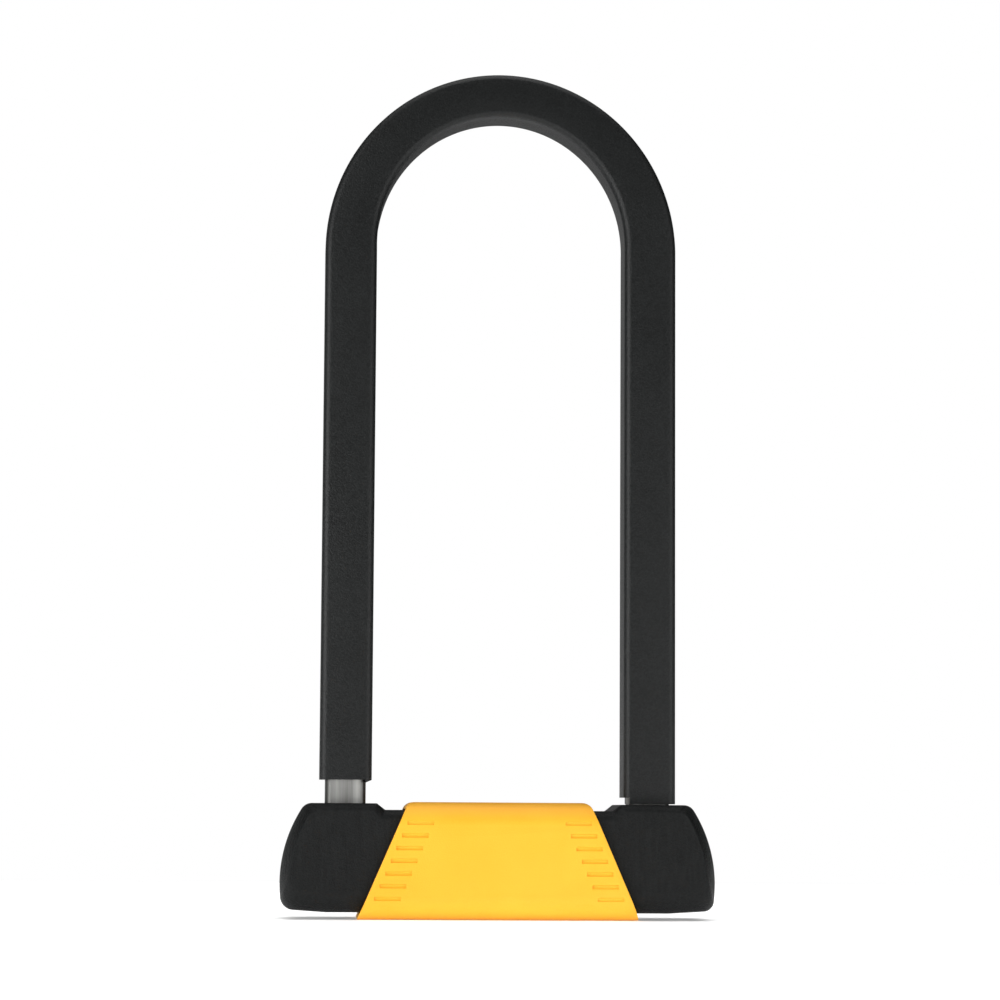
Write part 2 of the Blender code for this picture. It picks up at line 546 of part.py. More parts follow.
def spiral_groove(side, steps=14):
    """Outline of the groove that pushes one drive pin out as the cam turns a quarter."""
    half = PIN_R + PIN_PLAY
    ease = radians(2)                       # the groove runs on a little past each end of the turn
    path = []
    for i in range(steps + 1):
        turn = -ease + (QUARTER + 2 * ease) * i / steps
        reach = PIN_IN + STROKE * turn / QUARTER
        path.append((reach * cos(-turn), reach * sin(-turn)))
    left, right, ends = [], [], []
    for i, (x, y) in enumerate(path):
        x0, y0 = path[max(i - 1, 0)]
        x1, y1 = path[min(i + 1, steps)]
        size = hypot(x1 - x0, y1 - y0)
        nx, ny = -(y1 - y0) / size, (x1 - x0) / size
        left.append((x + half * nx, y + half * ny))
        right.append((x - half * nx, y - half * ny))
        if i in (0, steps):
            ends.append(((x, y), degrees(atan2(ny, nx))))
    (start, start_angle), (end, end_angle) = ends
    cap_end = list(arc(end, half, end_angle, end_angle - 180, 6))[1:-1]
    cap_start = list(arc(start, half, start_angle + 180, start_angle, 6))[1:-1]
    outline = left + cap_end + right[::-1] + cap_start
    return [(side * x, side * y) for x, y in outline]


def make_cam(plug_body):
    low, high = CAM_Z
    tongue_low = low - TONGUE_DEPTH
    tongue = rounded_rect(PLUG_R - GAP, TONGUE_HALF, GAP, steps=1)
    cam = piece(loft("cam_plate", along_z(circle(CAM_R, 40), (low, high))), "bare_steel", plug_body)
    drive = loft("cam_tongue", along_z(tongue, (tongue_low, low + 0.5)))
    join(cam, drive)
    for side in (-1, 1):
        groove = along_z(spiral_groove(side), (CAM_GROOVE_Z, high + 1))
        cut(cam, loft(f"cam_groove_{side_name(side)}", groove))


def join(item, mesh):
    """Add a second shape to a piece with a Boolean union."""
    cut(item, mesh)
    item.modifiers[-1].operation = "UNION"


# ---- bolts ----

def make_bolt(side, bolt_body):
    """An L-shaped bolt: a bar to the leg, and a raised tail over the cam that holds the drive pin."""
    hand = side_name(side)
    tip = BOLT_TIP_X
    low, high = BOLT_Z
    outline = [(BOLT_ROOT_X, low), (tip - TIP_BEVEL, low), (tip, low + TIP_BEVEL),
               (tip, high - TIP_BEVEL), (tip - TIP_BEVEL, high), (TAIL_X, high),
               (TAIL_X, ARM_Z[1]), (BOLT_ROOT_X, ARM_Z[1])]
    profile = [(side * x, z) for x, z in outline]
    bar_mesh = loft(f"bolt_{hand}", along_y(profile, (-BOLT_HALF_Y, BOLT_HALF_Y)))
    bar = piece(bar_mesh, "bare_steel", bolt_body)
    arm_end = PIN_IN - PIN_R - ARM_TIP_WALL
    arm_x = span(side, arm_end, TAIL_X - 1.0)
    arm_z = (ARM_Z[0], ARM_Z[1] - 0.1)
    join(bar, block(f"bolt_tail_{hand}", arm_x, (-ARM_HALF_Y, ARM_HALF_Y), arm_z))
    hole = circle(PIN_R + GAP / 2, 16, (side * PIN_IN, 0.0))
    cut(bar, loft(f"bolt_pin_hole_{hand}", along_z(hole, (ARM_Z[0] - 1.0, ARM_Z[1] + 1.0))))

    pin = circle(PIN_R, 16, (side * PIN_IN, 0.0))
    pin_z = (CAM_GROOVE_Z + GAP, ARM_Z[1] - 0.2)
    piece(loft(f"drive_pin_{hand}", along_z(pin, pin_z)), "bare_steel", bolt_body)


# ---- dust cover ----

def make_dust_cover(shutter_body):
    middle = (SHUTTER_X[0] + SHUTTER_X[1]) / 2
    half = (SHUTTER_X[1] - SHUTTER_X[0]) / 2
    plate = [(middle + x, y) for x, y in rounded_rect(half, SHUTTER_HALF_Y, SHUTTER_ROUND)]
    low, high = SHUTTER_Z
    shutter = piece(loft("dust_cover", along_z(plate, (low, high))), "black_plastic", shutter_body)
    tab_middle, tab_half = (TAB_X[0] + TAB_X[1]) / 2, (TAB_X[1] - TAB_X[0]) / 2
    tab = [(tab_middle + x, y) for x, y in rounded_rect(tab_half, TAB_HALF_Y, TAB_ROUND)]
    join(shutter, loft("dust_cover_tab", along_z(tab, (TAB_Z, (low + high) / 2))))
    across, deep = (-TAB_HALF_Y - BEYOND, TAB_HALF_Y + BEYOND), (TAB_Z - BEYOND, TAB_Z + RIB_DEPTH)
    for side in (-1, 1):
        x = tab_middle + side * RIB_PITCH / 2
        gap_x = (x - RIB_GAP / 2, x + RIB_GAP / 2)
        cut(shutter, block(f"tab_groove_{side_name(side)}", gap_x, across, deep))


def build():
    clear_scene()
    crossbar = body("crossbar", 0.0, 0.0, 0.0)
    shackle = body("shackle", 0.0, 0.0, BAR_FOOT_Z)
    plug_body = body("plug_axis", 0.0, 0.0, PLUG_Z[0])
    shutter_body = body("dust_cover_track", SHUTTER_X[0], 0.0, SHUTTER_Z[0])
    make_shackle(shackle)
    make_tube(crossbar)
    make_tube_inserts(crossbar)
    make_covers(crossbar)
    make_sleeve(crossbar)
    make_cylinder(crossbar, plug_body)
    make_cam(plug_body)
    for side in (-1, 1):
        bolt_body = body(f"bolt_track_{side_name(side)}", side * BOLT_TIP_X, 0.0, TUBE_MID_Z)
        make_bolt(side, bolt_body)
    make_dust_cover(shutter_body)


build()
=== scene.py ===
"""A U lock dressed for a product picture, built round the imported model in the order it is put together."""
from math import asin, cos, degrees, pi, radians, sin, sqrt

import bmesh
import bpy
from mathutils import Matrix, Vector


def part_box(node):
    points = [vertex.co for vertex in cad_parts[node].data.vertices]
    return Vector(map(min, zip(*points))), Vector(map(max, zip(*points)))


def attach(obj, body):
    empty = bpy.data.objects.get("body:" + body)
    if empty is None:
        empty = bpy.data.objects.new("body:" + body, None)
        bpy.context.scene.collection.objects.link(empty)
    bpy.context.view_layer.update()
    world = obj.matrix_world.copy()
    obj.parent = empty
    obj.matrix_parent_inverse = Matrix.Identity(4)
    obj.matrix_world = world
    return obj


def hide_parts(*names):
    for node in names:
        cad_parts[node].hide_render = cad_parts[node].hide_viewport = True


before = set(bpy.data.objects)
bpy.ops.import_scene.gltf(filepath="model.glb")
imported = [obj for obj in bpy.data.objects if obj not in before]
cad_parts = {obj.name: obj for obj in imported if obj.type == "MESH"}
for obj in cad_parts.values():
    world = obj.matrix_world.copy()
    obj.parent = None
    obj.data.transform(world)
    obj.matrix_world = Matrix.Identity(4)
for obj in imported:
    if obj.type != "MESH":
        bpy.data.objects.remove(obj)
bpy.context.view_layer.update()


# ---- The table, the light and the eye ----
# The lock stands on a pale table in front of a white sweep. The light is soft and comes mostly from a ring
# round the eye, more of it from the left, with a little from behind that draws the edges as thin lines.

TARGET = Vector((0.00055, 0.0, 0.1389))
EYE_DISTANCE = 1.0438
EYE_TURN, EYE_RISE, EYE_ROLL = 3.575, -5.70, 0.35          # degrees; the eye is to the left and below
LENS, SENSOR = 112.4, 36.0
EYE_SIDE, FLANKS, BESIDE, BEHIND = 0.28, 3.1, 0.06, 0.36   # how bright the sweep is, from the eye to the back
ABOVE, BELOW, ZENITH, SIDE_GAIN = 0.03, 0.35, 1.8, 0.5
TABLE_HALF, TABLE_LIGHT, TABLE_LIGHT_ANGLE = 0.5, 3.5, 110.0


class Wire:
    """One output in a node tree. Sums, products and powers of wires add Math nodes."""

    def __init__(self, tree, socket):
        self.tree, self.socket = tree, socket

    @staticmethod
    def node(tree, kind, settings=None, inputs=None, output=0):
        """Add a node: its settings first, then the values or wires of its inputs."""
        made = tree.nodes.new(kind)
        for name, value in (settings or {}).items():
            setattr(made, name, value)
        for name, value in (inputs or {}).items():
            if isinstance(value, Wire):
                tree.links.new(value.socket, made.inputs[name])
            else:
                made.inputs[name].default_value = value
        return Wire(tree, made.outputs[output] if made.outputs else None)

    def math(self, operation, *values):
        inputs = dict(enumerate((self, *values)))
        return Wire.node(self.tree, "ShaderNodeMath", {"operation": operation}, inputs)

    def __add__(self, other):
        return self.math("ADD", other)

    def __sub__(self, other):
        return self.math("SUBTRACT", other)

    def __mul__(self, other):
        return self.math("MULTIPLY", other)

    def __truediv__(self, other):
        return self.math("DIVIDE", other)

    def __rsub__(self, other):
        return self * -1.0 + other

    __radd__, __rmul__ = __add__, __mul__


def white_sweep():
    """World light: plain white to the eye. The lock is lit by a ring round the eye and a patch overhead."""
    world = bpy.data.worlds.new("studio")
    bpy.context.scene.world = world
    world.use_nodes = True
    tree = world.node_tree
    tree.nodes.clear()
    way = Wire.node(tree, "ShaderNodeTexCoord", output="Generated")
    split = Wire.node(tree, "ShaderNodeSeparateXYZ", inputs={0: way}).socket.node
    x, y, z = (Wire(tree, split.outputs[axis]) for axis in "XYZ")

    def ease(value, start, end, low, high):
        return Wire.node(tree, "ShaderNodeMapRange", {"interpolation_type": "SMOOTHSTEP"}, {
            "Value": value, "From Min": start, "From Max": end, "To Min": low, "To Max": high})

    round_eye = ease(y, -0.93, -0.6, EYE_SIDE, FLANKS)
    beside = ease(y, -0.55, -0.1, 0.0, BESIDE - FLANKS)
    behind = ease(y, 0.3, 0.9, 0.0, BEHIND - BESIDE)
    above = ease(z, 0.25, 0.6, 1.0, ABOVE) * ease(z, -0.3, -0.02, BELOW, 1.0)
    zenith = ease(z, 0.75, 0.95, 0.0, ZENITH)
    left = ease(x, -0.8, 0.4, 1.0 + SIDE_GAIN, 1.0 - SIDE_GAIN)
    seen = Wire.node(tree, "ShaderNodeLightPath", output="Is Camera Ray")
    strength = ((round_eye + beside + behind) * above * left + zenith) * (1.0 - seen) + seen
    white = (1.0, 1.0, 1.0, 1.0)
    glow = Wire.node(tree, "ShaderNodeBackground", inputs={"Color": white, "Strength": strength})
    Wire.node(tree, "ShaderNodeOutputWorld", inputs={"Surface": glow})


def soft_light(name, place, size, power):
    lamp = bpy.data.lights.new(name, "AREA")
    lamp.shape, lamp.size, lamp.size_y, lamp.energy = "RECTANGLE", size[0], size[1], power
    item = bpy.data.objects.new(name, lamp)
    bpy.context.scene.collection.objects.link(item)
    item.location = place
    item.rotation_euler = (TARGET - Vector(place)).to_track_quat("-Z", "Y").to_euler()


def table_light(table):
    """A broad light from above that falls on the table alone and keeps it white."""
    lamp = bpy.data.lights.new("table_light", "SUN")
    lamp.energy, lamp.angle, lamp.use_shadow = TABLE_LIGHT, radians(TABLE_LIGHT_ANGLE), False
    item = bpy.data.objects.new("table_light", lamp)
    bpy.context.scene.collection.objects.link(item)
    lit = bpy.data.collections.new("lit_table")
    lit.objects.link(table)
    item.light_linking.receiver_collection = lit


def place_eye():
    turn, rise, roll = radians(EYE_TURN), radians(EYE_RISE), radians(EYE_ROLL)
    away = Vector((-sin(turn) * cos(rise), -cos(turn) * cos(rise), sin(rise)))
    right = (-away).cross(Vector((0.0, 0.0, 1.0))).normalized()
    up = right.cross(-away)
    tilted_right = cos(roll) * right + sin(roll) * up
    tilted_up = -sin(roll) * right + cos(roll) * up
    eye = bpy.data.objects.new("eye", bpy.data.cameras.new("eye"))
    bpy.context.scene.collection.objects.link(eye)
    eye.data.lens, eye.data.sensor_width = LENS, SENSOR
    eye.data.clip_start, eye.data.clip_end = 0.01, 50.0
    turned = Matrix((tilted_right, tilted_up, away)).transposed()
    eye.matrix_world = Matrix.Translation(TARGET + EYE_DISTANCE * away) @ turned.to_4x4()
    bpy.context.scene.camera = eye


def material(name, recipe):
    """A Principled material. recipe(tree, place) gives a wire for each socket that varies, or a value."""
    made = bpy.data.materials.new(name)
    made.use_nodes = True
    tree = made.node_tree
    shader = tree.nodes["Principled BSDF"]
    place = Wire.node(tree, "ShaderNodeTexCoord", output="Object")
    for socket, value in recipe(tree, place).items():
        if isinstance(value, Wire):
            tree.links.new(value.socket, shader.inputs[socket])
        else:
            shader.inputs[socket].default_value = value
    return made


def noise(tree, place, scale, detail=2.0, roughness=0.5, stretch=None):
    """Noise from 0 to 1 at a number of cells per metre, drawn out where stretch is small."""
    if stretch:
        place = Wire.node(tree, "ShaderNodeMapping", inputs={"Vector": place, "Scale": stretch})
    return Wire.node(tree, "ShaderNodeTexNoise", inputs={
        "Vector": place, "Scale": scale, "Detail": detail, "Roughness": roughness})


def blend_colours(tree, mask, low, high):
    """The colour low where mask is 0 and high where it is 1."""
    ends = {0: mask, 6: (*low, 1.0), 7: (*high, 1.0)}
    return Wire.node(tree, "ShaderNodeMix", {"data_type": "RGBA"}, ends, 2)


def contrast(wire, gain=2.5):
    """Spread a noise that stays near its middle over the whole of 0 to 1."""
    return ((wire - 0.5) * gain + 0.5).math("MAXIMUM", 0.0).math("MINIMUM", 1.0)


def bumps(tree, height, distance):
    """Surface relief: a wire from 0 to 1, and how deep its full range is, in metres."""
    return Wire.node(tree, "ShaderNodeBump", inputs={"Height": height, "Distance": distance, "Strength": 1.0})


def table_top(tree, place):
    grain = noise(tree, place, 40.0, 4.0)
    return {"Base Color": blend_colours(tree, grain, (0.86, 0.86, 0.86), (0.9, 0.9, 0.9)), "Roughness": 0.55}


def lay_table():
    mesh = bpy.data.meshes.new("table")
    bm = bmesh.new()
    bmesh.ops.create_grid(bm, x_segments=1, y_segments=1, size=TABLE_HALF)
    bm.to_mesh(mesh)
    bm.free()
    table = bpy.data.objects.new("table", mesh)
    bpy.context.scene.collection.objects.link(table)
    mesh.materials.append(material("table_top", table_top))
    return table


bpy.context.scene.view_settings.view_transform = "Standard"
place_eye()
white_sweep()
soft_light("low_left", (-0.8, -0.75, 0.10), (0.5, 0.4), 4.0)
soft_light("low_right", (0.75, -0.85, 0.06), (0.4, 0.3), 3.0)
table_light(lay_table())


# ---- Shackle bar ----
# A square bar of hardened steel, bent cold to a U and drawn lengthways, with a chamfer at each foot and a
# notch milled across each inner face for a bolt. It shows bare between the coating and the crossbar.

bar_low, bar_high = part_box("shackle_bar")
coat_low, coat_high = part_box("shackle_coating")
bar_half = bar_high.y
leg_x = bar_high.x - bar_half
bend_top = bar_high.z - bar_half
bend_rise = 0.0523
BAR_ROUND, FOOT_CHAMFER = 0.0020, 0.0012
HIGHLIGHT_AT, HIGHLIGHT_WIDTH = 0.0038, 0.0016                     # a painted highlight: a bright stripe down each leg, towards its inner side
BEND_ROWS, END_ROWS = 128, 2
RIDGE = 0.25                                                 # above 0, the bend is thickest inside its middle
WELD = 0.000004                                              # points nearer than this after a cut are one


def new_tree(name, asks):
    """An empty geometry tree with named inputs, and a wire for each input."""
    tree = bpy.data.node_groups.new(name, "GeometryNodeTree")
    for label, kind in asks:
        tree.interface.new_socket(label, in_out="INPUT", socket_type=f"NodeSocket{kind}")
    tree.interface.new_socket("Geometry", in_out="OUTPUT", socket_type="NodeSocketGeometry")
    source = tree.nodes.new("NodeGroupInput")
    return tree, {label: Wire(tree, source.outputs[label]) for label, _ in asks}


def finish_tree(tree, shape, finish):
    """End a tree as plain smooth faces in one material."""
    real = Wire.node(tree, "GeometryNodeRealizeInstances", inputs={"Geometry": shape})
    smooth = Wire.node(tree, "GeometryNodeSetShadeSmooth", inputs={"Geometry": real})
    dressed = Wire.node(tree, "GeometryNodeSetMaterial", inputs={"Geometry": smooth, "Material": finish})
    Wire.node(tree, "NodeGroupOutput", inputs={"Geometry": dressed})


def grow(name, tree, values, base=None):
    """Run a geometry tree with these inputs and keep what it makes as a plain mesh object."""
    mesh = base.data if base else bpy.data.meshes.new(name)
    item = bpy.data.objects.new(name + "_seed", mesh)
    bpy.context.scene.collection.objects.link(item)
    modifier = item.modifiers.new("grow", "NODES")
    modifier.node_group = tree
    for socket in tree.interface.items_tree:
        if socket.in_out == "INPUT" and socket.name in values:
            modifier[socket.identifier] = values[socket.name]
    return bake(name, item)


def bake(name, item):
    """Replace an object by a plain mesh of what its modifiers make of it."""
    graph = bpy.context.evaluated_depsgraph_get()
    mesh = bpy.data.meshes.new_from_object(item.evaluated_get(graph))
    mesh.name = name
    bpy.data.objects.remove(item)
    made = bpy.data.objects.new(name, mesh)
    bpy.context.scene.collection.objects.link(made)
    return made


def carve(item, cutters, sharp=35.0, careful=False):
    """Cut shapes out of a piece for good, and shade it smooth up to an angle in degrees.
    A careful cut also sorts out faces of the piece that share a plane, and takes longer."""
    name = item.name
    item.name = name + "_uncut"
    for cutter in cutters:
        boolean = item.modifiers.new(cutter.name, "BOOLEAN")
        boolean.operation, boolean.solver, boolean.object = "DIFFERENCE", "EXACT", cutter
        boolean.use_self = careful
    item.modifiers.new("weld", "WELD").merge_threshold = WELD
    made = bake(name, item)
    for cutter in cutters:
        bpy.data.objects.remove(cutter)
    crisp(made, sharp)
    return made


def crisp(item, angle):
    """Shade smooth, except across edges sharper than an angle in degrees."""
    item.data.shade_smooth()
    item.data.set_sharp_from_angle(angle=radians(angle))


def bent_section_tree():
    """A square section swept up one leg, over a half ellipse and down the other. Over the bend it gets
    thinner, and its front and back are crowned, falling away most towards the outside."""
    sizes = ("Leg centre", "Bend height", "Bend rise", "Left end", "Right end", "Half section",
             "Half section at bend", "Corner", "End chamfer", "Outer slope")
    tree, ask = new_tree("bent_section", [("Material", "Material"), *((size, "Float") for size in sizes)])
    rows = BEND_ROWS + 1 + 2 * END_ROWS
    index = Wire.node(tree, "GeometryNodeInputIndex")
    share = ((index - float(END_ROWS)) / float(BEND_ROWS)).math("MAXIMUM", 0.0).math("MINIMUM", 1.0)
    angle = (1.0 - share) * pi
    first, second = index.math("LESS_THAN", 0.5), index.math("LESS_THAN", 1.5)
    last, last_but_one = index.math("GREATER_THAN", rows - 1.5), index.math("GREATER_THAN", rows - 2.5)
    chamfer = ask["End chamfer"]
    drop = second * (ask["Bend height"] - ask["Left end"] - chamfer) + first * chamfer
    drop += last_but_one * (ask["Bend height"] - ask["Right end"] - chamfer) + last * chamfer
    x = ask["Leg centre"] * angle.math("COSINE")
    z = ask["Bend height"] + ask["Bend rise"] * angle.math("SINE") - drop
    spot = Wire.node(tree, "ShaderNodeCombineXYZ", inputs={"X": x, "Z": z})
    line = Wire.node(tree, "GeometryNodeMeshLine", inputs={"Count": rows})
    line = Wire.node(tree, "GeometryNodeSetPosition", inputs={"Geometry": line, "Position": spot})
    path = Wire.node(tree, "GeometryNodeMeshToCurve", inputs={"Mesh": line})
    slim = 1.0 - (first + last) * (chamfer / ask["Half section"])
    path = Wire.node(tree, "GeometryNodeSetCurveRadius", inputs={"Curve": path, "Radius": slim})

    side = ask["Half section"] * 2.0
    square = Wire.node(tree, "GeometryNodeCurvePrimitiveQuadrilateral",
                       inputs={"Width": side, "Height": side})
    section = Wire.node(tree, "GeometryNodeFilletCurve", {"mode": "POLY"},
                        {"Curve": square, "Radius": ask["Corner"], "Count": 9})
    swept = Wire.node(tree, "GeometryNodeCurveToMesh",
                      inputs={"Curve": path, "Profile Curve": section, "Fill Caps": True})

    here = Wire.node(tree, "GeometryNodeInputPosition")
    split = Wire.node(tree, "ShaderNodeSeparateXYZ", inputs={0: here}).socket.node
    x, y, z = (Wire(tree, split.outputs[axis]) for axis in "XYZ")
    above = (z - ask["Bend height"]).math("MAXIMUM", 0.0)
    turn = (above / ask["Bend rise"]).math("ARCTAN2", x / ask["Leg centre"])
    thin = (1.0 - ask["Half section at bend"] / ask["Half section"]) * turn.math("SINE")
    core_x = ask["Leg centre"] * turn.math("COSINE")
    core_z = ask["Bend height"] + ask["Bend rise"] * turn.math("SINE")
    bent = above.math("GREATER_THAN", 0.0)
    pull_x = (core_x - x) * thin * bent
    pull_z = (core_z - z) * thin * bent
    out = (x - core_x) * turn.math("COSINE") + (z - core_z) * turn.math("SINE")
    outer = out / ask["Half section"] * (1.0 - RIDGE) + RIDGE
    pull_y = y * outer * outer * turn.math("SINE") * bent * ask["Outer slope"] * -1.0
    shift = Wire.node(tree, "ShaderNodeCombineXYZ", inputs={"X": pull_x, "Y": pull_y, "Z": pull_z})
    swept = Wire.node(tree, "GeometryNodeSetPosition", inputs={"Geometry": swept, "Offset": shift})
    finish_tree(tree, swept, ask["Material"])
    return tree


def loft(name, rings, closed=False, finish=None):
    """A solid through equal rings: capped at both ends, or joined back to its first ring."""
    bm = bmesh.new()
    loops = [[bm.verts.new(point) for point in ring] for ring in rings]
    pairs = list(zip(loops, loops[1:])) + ([(loops[-1], loops[0])] if closed else [])
    for low, high in pairs:
        for i in range(len(low)):
            j = (i + 1) % len(low)
            bm.faces.new((low[i], low[j], high[j], high[i]))
    if not closed:
        bm.faces.new(loops[0])
        bm.faces.new(loops[-1])
    bmesh.ops.recalc_face_normals(bm, faces=bm.faces)
    mesh = bpy.data.meshes.new(name)
    bm.to_mesh(mesh)
    bm.free()
    item = bpy.data.objects.new(name, mesh)
    bpy.context.scene.collection.objects.link(item)
    if finish:
        mesh.materials.append(finish)
    return item


def block(name, x, y, z):
    """A plain block between two values each of x, y and z."""
    section = [(x[0], y[0]), (x[1], y[0]), (x[1], y[1]), (x[0], y[1])]
    return loft(name, [[(*point, height) for point in section] for height in z])


def drawn_steel(tree, place):
    """Bare bar: dull grey with lengthways draw lines, a painted highlight stripe down each leg, and painted
    shade over the rounded corners.
    """
    lines = noise(tree, place, 900.0, 3.0, 0.6, stretch=(1.0, 1.0, 0.02))
    bands = noise(tree, place, 260.0, 2.0, 0.5, stretch=(1.0, 1.0, 0.05))
    cloud = noise(tree, place, 120.0, 3.0)
    mask = contrast(lines * 0.5 + bands * 0.5, 3.5)
    spot = Wire.node(tree, "ShaderNodeSeparateXYZ", inputs={0: place}).socket.node.outputs
    beside_centre = Wire(tree, spot["X"]).math("ABSOLUTE") - leg_x
    corner = beside_centre.math("ABSOLUTE").math("MINIMUM", Wire(tree, spot["Y"]).math("ABSOLUTE"))
    # Painted shade: the colour darkens over the rounded corners of the bar.
    outside_corner_shade = Wire.node(tree, "ShaderNodeMapRange", {"interpolation_type": "SMOOTHSTEP"}, {
        "Value": corner, "From Min": bar_half - BAR_ROUND, "From Max": bar_half - BAR_ROUND * 0.4,
        "To Min": 1.0, "To Max": 0.0})
    # Painted highlight: a bright stripe down each leg, towards its inner side.
    painted_highlight = 1.0 - ((beside_centre + HIGHLIGHT_AT) / HIGHLIGHT_WIDTH).math("ABSOLUTE").math("MINIMUM", 1.0)
    shine = outside_corner_shade * (mask * 0.55 + painted_highlight * 0.35 + 0.25)
    colour = blend_colours(tree, shine, (0.05, 0.05, 0.047), (0.48, 0.48, 0.463))
    return {"Base Color": colour, "Metallic": 0.85, "Roughness": 0.36 + cloud * 0.12 + lines * 0.1,
            "Normal": bumps(tree, contrast(lines), 0.00005)}


steel = material("drawn_steel", drawn_steel)
bent_section = bent_section_tree()
bend_z = bend_top - bend_rise
leg_values = {"Leg centre": leg_x, "Bend height": bend_z, "Bend rise": bend_rise}


def bend(name, finish, ends, half, half_at_bend, corner, chamfer, slope=0.0):
    """A bent square bar or sleeve: where its two ends are, and its half section on the legs and the bend."""
    return grow(name, bent_section, {
        **leg_values, "Material": finish, "Left end": ends[0], "Right end": ends[1], "Half section": half,
        "Half section at bend": half_at_bend, "Corner": corner, "End chamfer": chamfer, "Outer slope": slope})


bolt_low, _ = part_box("bolt_right")
NOTCH_DEPTH, NOTCH_PLAY, NOTCH_LEAD = 0.0041, 0.0005, 0.0004
BOLT_HEIGHT = 0.008
PAST = 0.002                                                 # how far a cutter reaches past what it cuts


def bolt_notch(side):
    """The milled slot across the inner face of one leg, opening outwards a little at its mouth."""
    face = leg_x - bar_half
    low, high = bolt_low.z - NOTCH_PLAY, bolt_low.z + BOLT_HEIGHT + NOTCH_PLAY
    wide_low, wide_high = low - NOTCH_LEAD, high + NOTCH_LEAD
    outline = [(face + NOTCH_DEPTH, low), (face + NOTCH_DEPTH, high), (face + NOTCH_LEAD, high),
               (face, wide_high), (face - PAST, wide_high), (face - PAST, wide_low), (face, wide_low),
               (face + NOTCH_LEAD, low)]
    rings = [[(side * x, y, z) for x, z in outline] for y in (-bar_half - 0.001, bar_half + 0.001)]
    return loft(f"bolt_notch_{side}", rings)


bar = bend("drawn_bar", steel, (bar_low.z, bar_low.z), bar_half, bar_half, BAR_ROUND, FOOT_CHAMFER)
bar = carve(bar, [bolt_notch(-1), bolt_notch(1)], 30.0)
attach(bar, "shackle")
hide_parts("shackle_bar")


# ---- Shackle coating ----
# A matte black vinyl skin moulded over the bar so that it doesn't scratch the bicycle. It is drawn thinner
# over the bend, and it is trimmed higher on the left leg than on the right.

coat_half = coat_high.y
crown_half = coat_high.z - bend_top
COAT_CORNER, COAT_EDGE, BEND_SLOPE = 0.0024, 0.0003, 0.24
BARE_LEFT = 0.0074                                           # how much higher the left leg is trimmed
SKIN_GAP = 0.00012
INNER_TRIM_Z = 0.0401


def vinyl(tree, place):
    """Matte vinyl: near black, with a fine leathery grain and faint cloudy patches."""
    grain = noise(tree, place, 1700.0, 4.0, 0.65)
    cloud = noise(tree, place, 60.0, 3.0, 0.55)
    leather = cloud * 0.3 + contrast(grain, 3.5) * 0.7
    colour = blend_colours(tree, leather, (0.0005, 0.0008, 0.0008), (0.009, 0.0103, 0.0103))
    return {"Base Color": colour, "Roughness": 0.34 + cloud * 0.1, "Specular IOR Level": 0.27,
            "Normal": bumps(tree, grain, 0.00018)}


black_vinyl = material("black_vinyl", vinyl)


def knife_cuts():
    """The trimmed lower edges: slanting at the left leg's inner side, higher at the right leg's."""
    inner, outer = leg_x - bar_half, leg_x + coat_half
    level = coat_low.z + BARE_LEFT
    low = level - 0.003
    slant = [(-outer - PAST, low), (-outer - PAST, level), (-inner - 0.0004, level), (-inner, level - 0.0009),
             (-inner + 0.003, level + 0.0004), (-inner + 0.003, low)]
    foot = coat_low.z - 0.001
    wall = [(inner + 0.0001, foot), (inner + 0.0001, INNER_TRIM_Z), (inner - 0.004, INNER_TRIM_Z),
            (inner - 0.004, foot)]
    return [loft(name, [[(x, y, z) for x, z in outline] for y in (-0.02, 0.02)])
            for name, outline in (("left_trim", slant), ("right_trim", wall))]


trim = (coat_low.z + BARE_LEFT - 0.001, coat_low.z)
coating = bend("vinyl_skin", black_vinyl, trim, coat_half, crown_half, COAT_CORNER, COAT_EDGE, BEND_SLOPE)
hollow = bar_half + SKIN_GAP
core_ends = [end - 0.005 for end in trim]
core = bend("skin_core", black_vinyl, core_ends, hollow, hollow, BAR_ROUND, 0.0001)
coating = carve(coating, [core, *knife_cuts()], 50.0)
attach(coating, "shackle")
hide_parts("shackle_coating")


# ---- Crossbar tube, its end plugs, socket blocks and pins ----
# Square steel tube with a block in each end that guides a leg, closed by a pinned plug. All of it is sawn
# and milled steel under the covers, and shows only down the sockets once the shackle is out.


def milled_steel(tree, place):
    """Hardened and oiled steel: dark grey, with fine cutter marks and blotches from the heat treatment."""
    marks = noise(tree, place, 700.0, 2.0, 0.5, stretch=(1.0, 0.08, 1.0))
    blotch = noise(tree, place, 150.0, 4.0, 0.6)
    colour = blend_colours(tree, blotch, (0.10, 0.105, 0.11), (0.30, 0.30, 0.30))
    return {"Base Color": colour, "Metallic": 0.95, "Roughness": 0.34 + blotch * 0.2,
            "Normal": bumps(tree, marks, 0.00003)}


def refinish(finish, *nodes):
    """Give CAD nodes a material of their own."""
    for name in nodes:
        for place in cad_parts[name].material_slots:
            place.material = finish


def both(stem):
    """The names of a left and a right node."""
    return [f"{stem}_{hand}" for hand in ("left", "right")]


dark_steel = material("milled_steel", milled_steel)
refinish(dark_steel, "crossbar_tube", "cylinder_pin", *both("end_plug"), *both("socket_block"),
         *both("roll_pin"))


# ---- Lock carrier ----
# One zinc die casting that fills the middle of the tube. It locates the cylinder and guides both bolts.


def die_cast_zinc(tree, place):
    skin = noise(tree, place, 500.0, 3.0, 0.6)
    stain = noise(tree, place, 90.0, 4.0)
    colour = blend_colours(tree, stain, (0.36, 0.37, 0.38), (0.55, 0.55, 0.54))
    return {"Base Color": colour, "Metallic": 0.85, "Roughness": 0.48 + stain * 0.2,
            "Normal": bumps(tree, skin, 0.00006)}


refinish(material("die_cast_zinc", die_cast_zinc), "lock_carrier")


# ---- Lock cylinder: housing, plug, locking discs and sidebar ----
# Turned brass housing and plug, with stamped brass discs behind a hardened anti-drill disc. Only the plug's
# face and its keyway show, from below, when the dust cover is slid aside.


